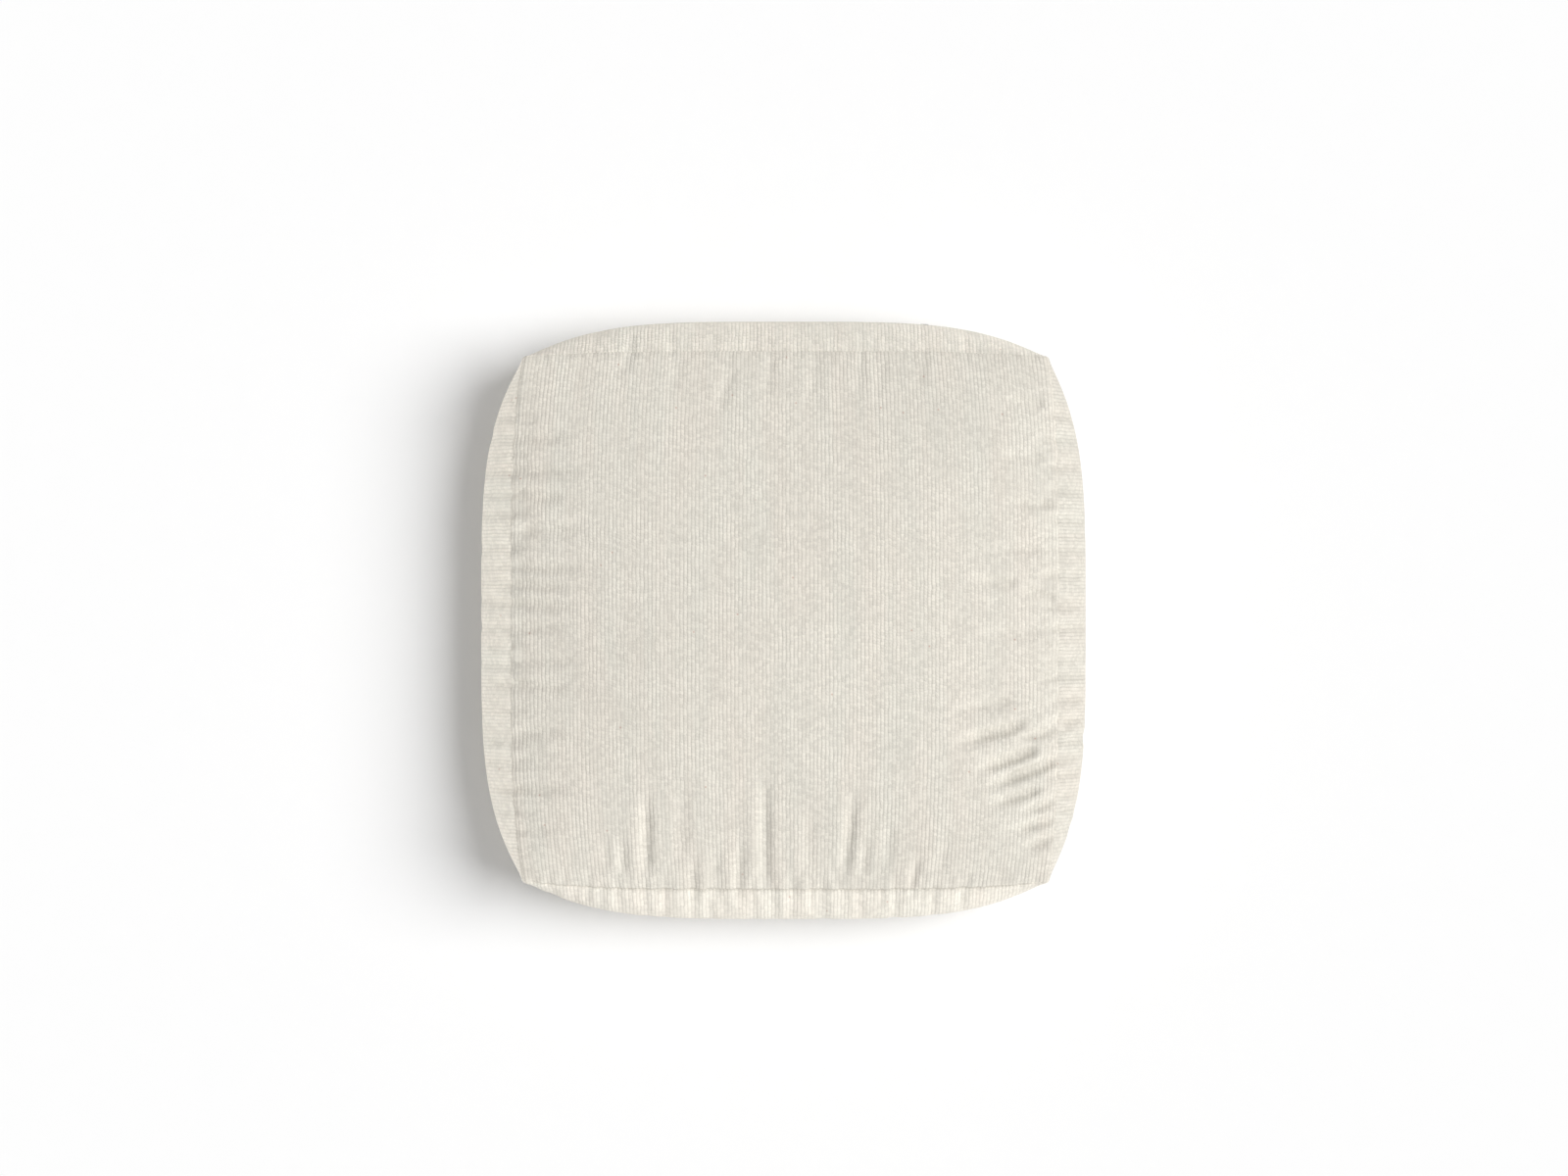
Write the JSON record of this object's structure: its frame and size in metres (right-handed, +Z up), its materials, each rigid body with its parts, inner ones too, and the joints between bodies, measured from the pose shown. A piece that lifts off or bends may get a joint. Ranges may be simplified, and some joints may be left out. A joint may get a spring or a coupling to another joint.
{
  "type": "chair seat pad",
  "caption": "Square box-edged seat pad: sewn ribbed cover with a zipper in its rear side strip, over a fibre-wrapped foam insert in a liner.",
  "frame": {"origin": "centre of the flat underside, on the surface that the pad rests on", "axes": "+Z up through the crowned top, +Y towards the side with the zipper (the rear), +X to the right"},
  "size_m": [0.51, 0.5038, 0.092],
  "materials": {
    "cover_fabric": "matte",
    "sewing_thread": "satin",
    "zipper_tape": "matte",
    "zipper_coil": "satin",
    "zipper_metal": "satin",
    "liner_fabric": "matte",
    "batting": "matte",
    "foam": "matte",
    "label": "satin"
  },
  "bodies": {
    "cover_and_insert": {"top_panel": "cover_fabric", "bottom_panel": "cover_fabric", "front_boxing": "cover_fabric", "left_boxing": "cover_fabric", "right_boxing": "cover_fabric", "rear_boxing_upper": "cover_fabric", "rear_boxing_lower": "cover_fabric", "top_seam_thread": "sewing_thread", "bottom_seam_thread": "sewing_thread", "corner_seam_threads": "sewing_thread", "zipper_stitch_upper": "sewing_thread", "zipper_stitch_lower": "sewing_thread", "zipper_tape_upper": "zipper_tape", "zipper_tape_lower": "zipper_tape", "zipper_coil_upper": "zipper_coil", "zipper_coil_lower": "zipper_coil", "zipper_bottom_stop": "zipper_metal", "zipper_top_stops": "zipper_metal", "inner_liner_upper": "liner_fabric", "inner_liner_lower": "liner_fabric", "top_batting": "batting", "side_batting": "batting", "bottom_batting": "batting", "foam_core": "foam", "care_label": "label"},
    "slider": {"zipper_slider": "zipper_metal"},
    "pull": {"zipper_pull": "zipper_metal"}
  },
  "joints": [
    {"name": "zipper_travel", "type": "hinge", "parent": "cover_and_insert", "child": "slider", "pos_m": [0, -1.82387, 0.042], "axis": [0, 0, 1], "range_deg": [0, 6.47]},
    {"name": "pull_swing", "type": "hinge", "parent": "slider", "child": "pull", "pos_m": [0.11715, 0.24803, 0.042], "axis": [0, 0, -1], "range_deg": [0, 170]}
  ]
}
